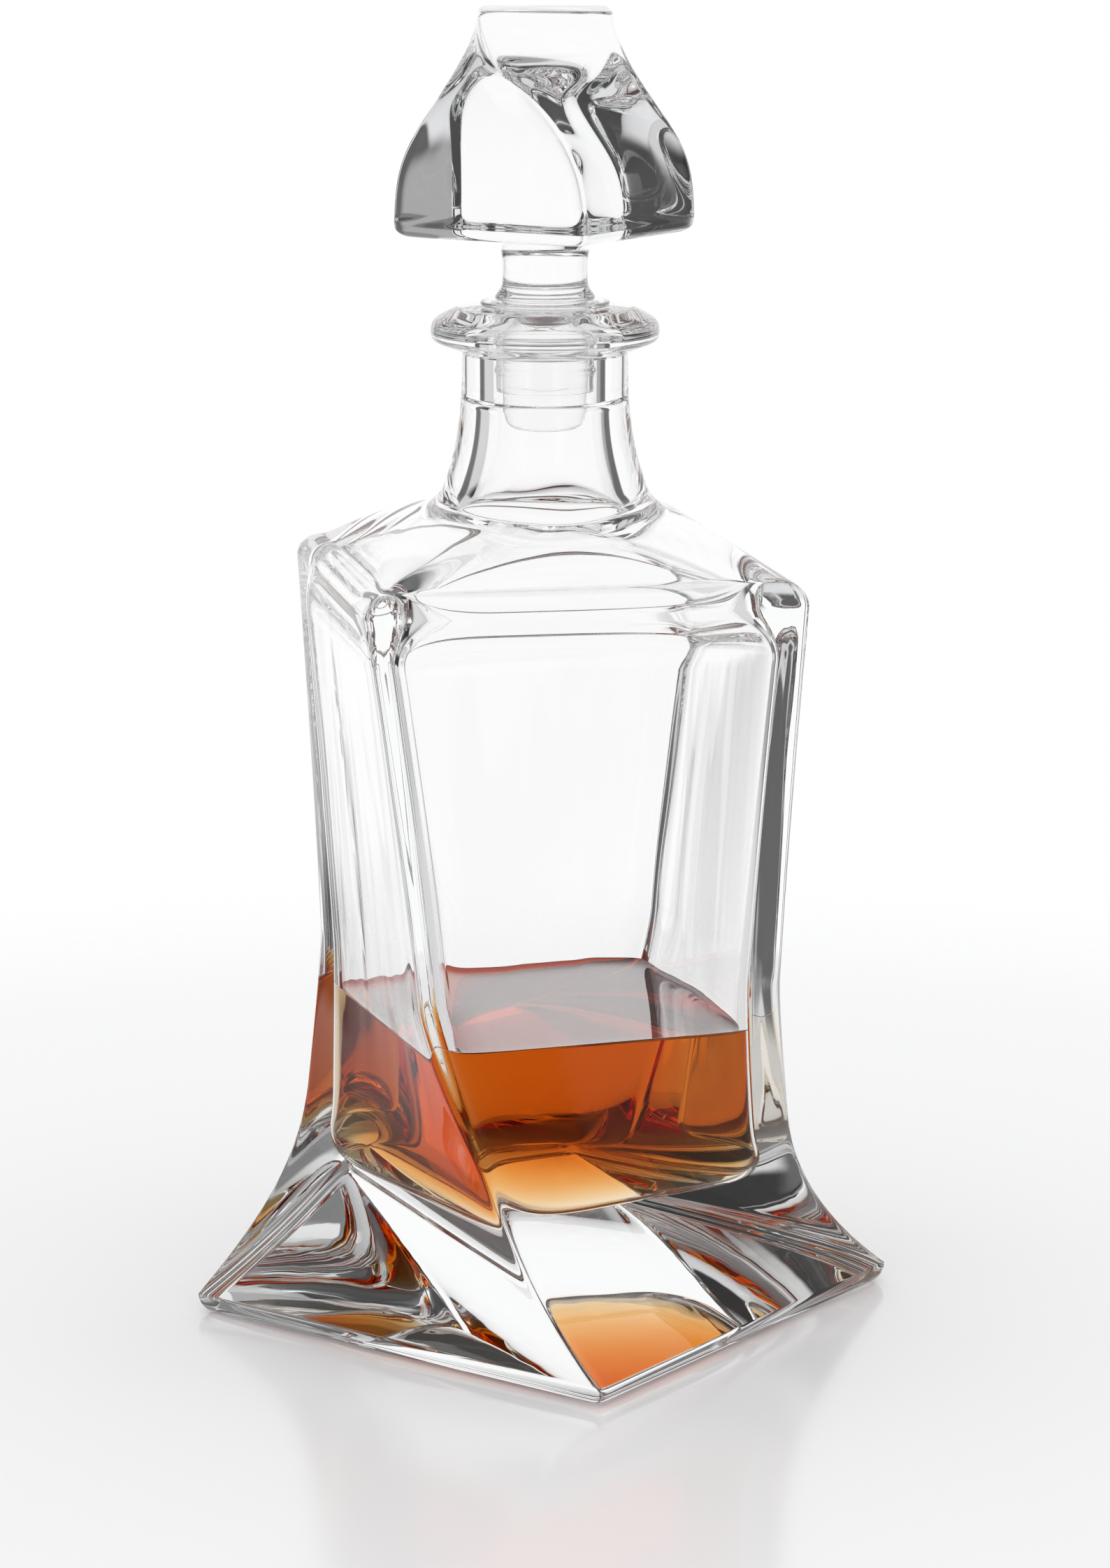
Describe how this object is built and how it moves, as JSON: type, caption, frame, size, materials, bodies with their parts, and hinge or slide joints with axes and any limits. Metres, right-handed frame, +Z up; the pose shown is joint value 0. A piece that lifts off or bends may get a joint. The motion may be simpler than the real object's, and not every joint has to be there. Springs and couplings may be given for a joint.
{
  "type": "spirit decanter",
  "caption": "Square clear-glass decanter that twists as it rises, with a thick flared foot, a round neck and a lift-out twisted glass stopper in a sealing sleeve, part filled with spirit.",
  "frame": {"origin": "centre of the flat underside, on the table", "axes": "+Z up along the decanter's axis; +X and +Y square to the sides of the foot"},
  "size_m": [0.1292, 0.1292, 0.2791],
  "materials": {
    "clear_glass": "polished clear crystal glass",
    "stopper_glass": "polished clear crystal glass",
    "clear_polymer": "clear satin polymer",
    "amber_spirit": "clear amber liquid"
  },
  "bodies": {
    "decanter": {"decanter_body": "clear_glass", "spirit_fill": "amber_spirit"},
    "sleeve": {"stopper_seal": "clear_polymer"},
    "stopper": {"stopper": "stopper_glass"}
  },
  "joints": [
    {"name": "stopper_lift", "type": "slide", "parent": "decanter", "child": "sleeve", "axis": [0, 0, 1], "range_m": [0, 0.05]},
    {"name": "stopper_turn", "type": "hinge", "parent": "sleeve", "child": "stopper", "pos_m": [0, 0, 0.2185], "axis": [0, 0, 1], "continuous": true}
  ]
}
